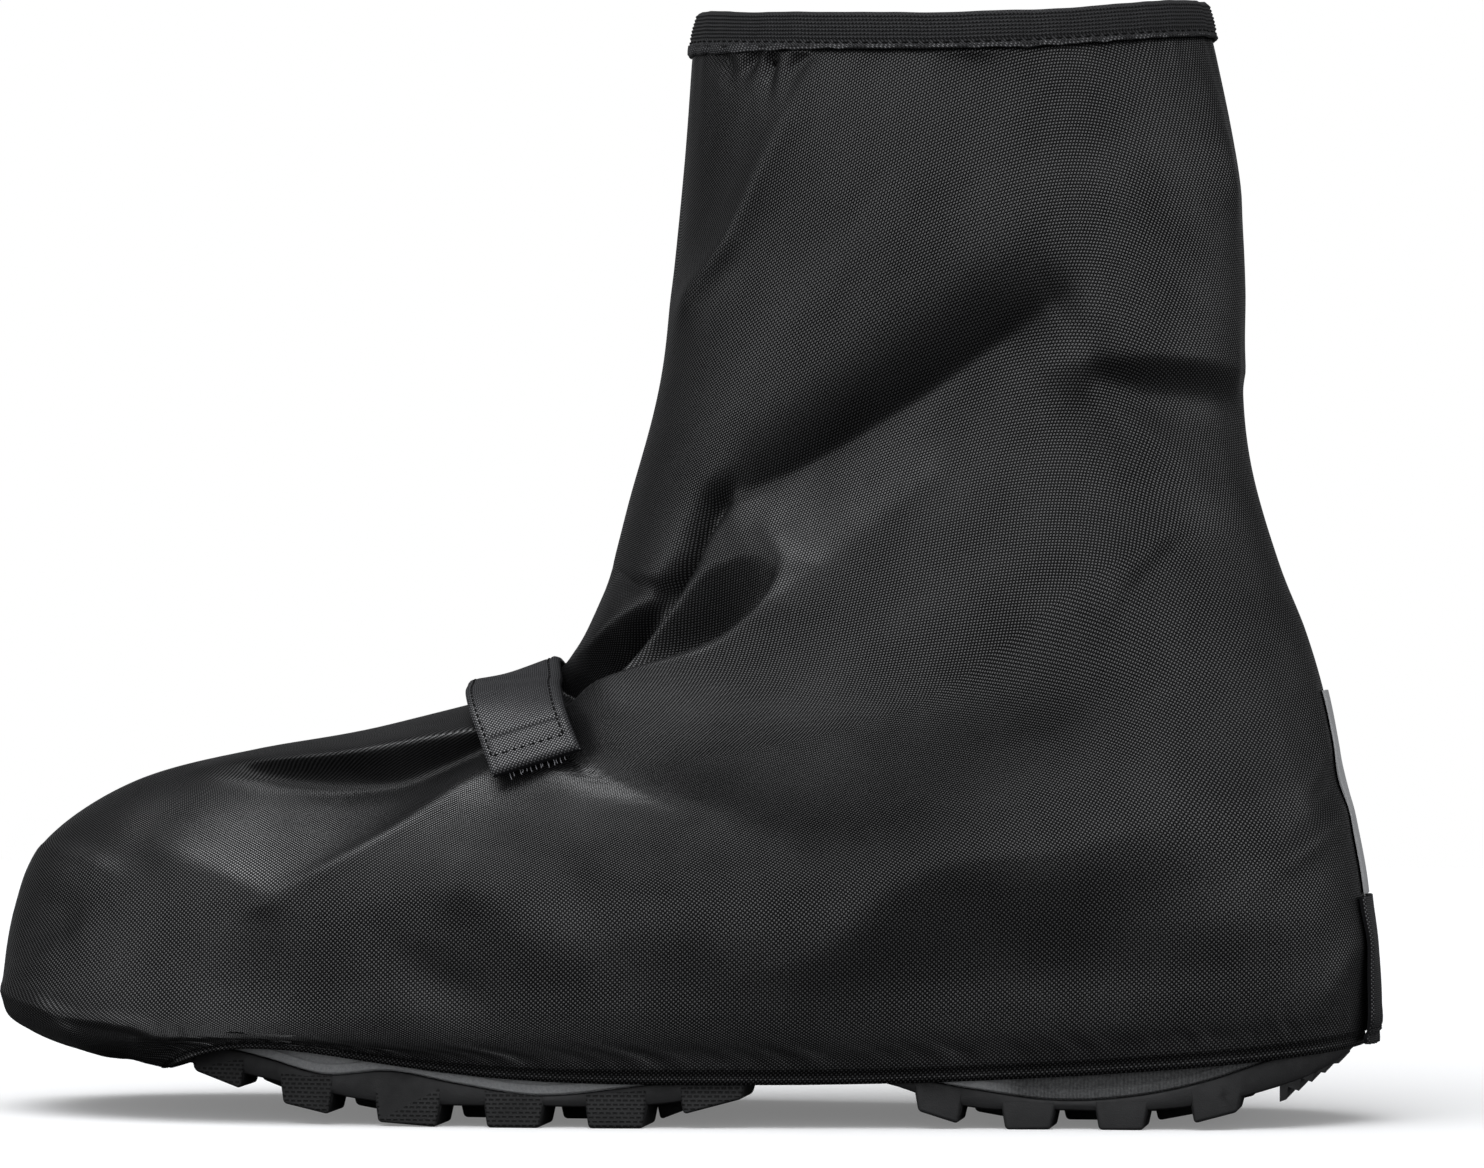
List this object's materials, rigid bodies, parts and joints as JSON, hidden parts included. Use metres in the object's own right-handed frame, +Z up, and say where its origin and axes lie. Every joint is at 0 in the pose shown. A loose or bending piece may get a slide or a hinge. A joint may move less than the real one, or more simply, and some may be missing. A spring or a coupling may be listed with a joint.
{
  "type": "rain overshoe",
  "caption": "Rain overshoe: a foot-shaped woven cover with an elastic collar, a hook-and-loop instep strap and a heel tab, standing on the lugged rubber sole it wraps.",
  "frame": {"origin": "on the floor under the middle of the overshoe's bounding box", "axes": "-X towards the toe, +X towards the heel, +Z up, -Y towards the outer side of this left overshoe"},
  "size_m": [0.3193, 0.1088, 0.2523],
  "materials": {
    "outsole": "matt black tread rubber",
    "midsole": "grey foam, fine skin",
    "insole": "plain dark lining cloth",
    "upper": "plain black weave with a soft sheen",
    "collar_band": "ribbed black elastic",
    "instep_strap": "doubled black weave, stitched round",
    "hook_patch": "black hook tape",
    "heel_reflector": "silver-grey reflective tape",
    "heel_tab": "smooth black webbing"
  },
  "bodies": {
    "root": {"outsole": "outsole", "midsole": "midsole", "insole": "insole", "upper": "upper", "collar_band": "collar_band", "instep_strap": "instep_strap", "hook_patch": "hook_patch", "heel_reflector": "heel_reflector", "heel_tab": "heel_tab"}
  },
  "joints": []
}
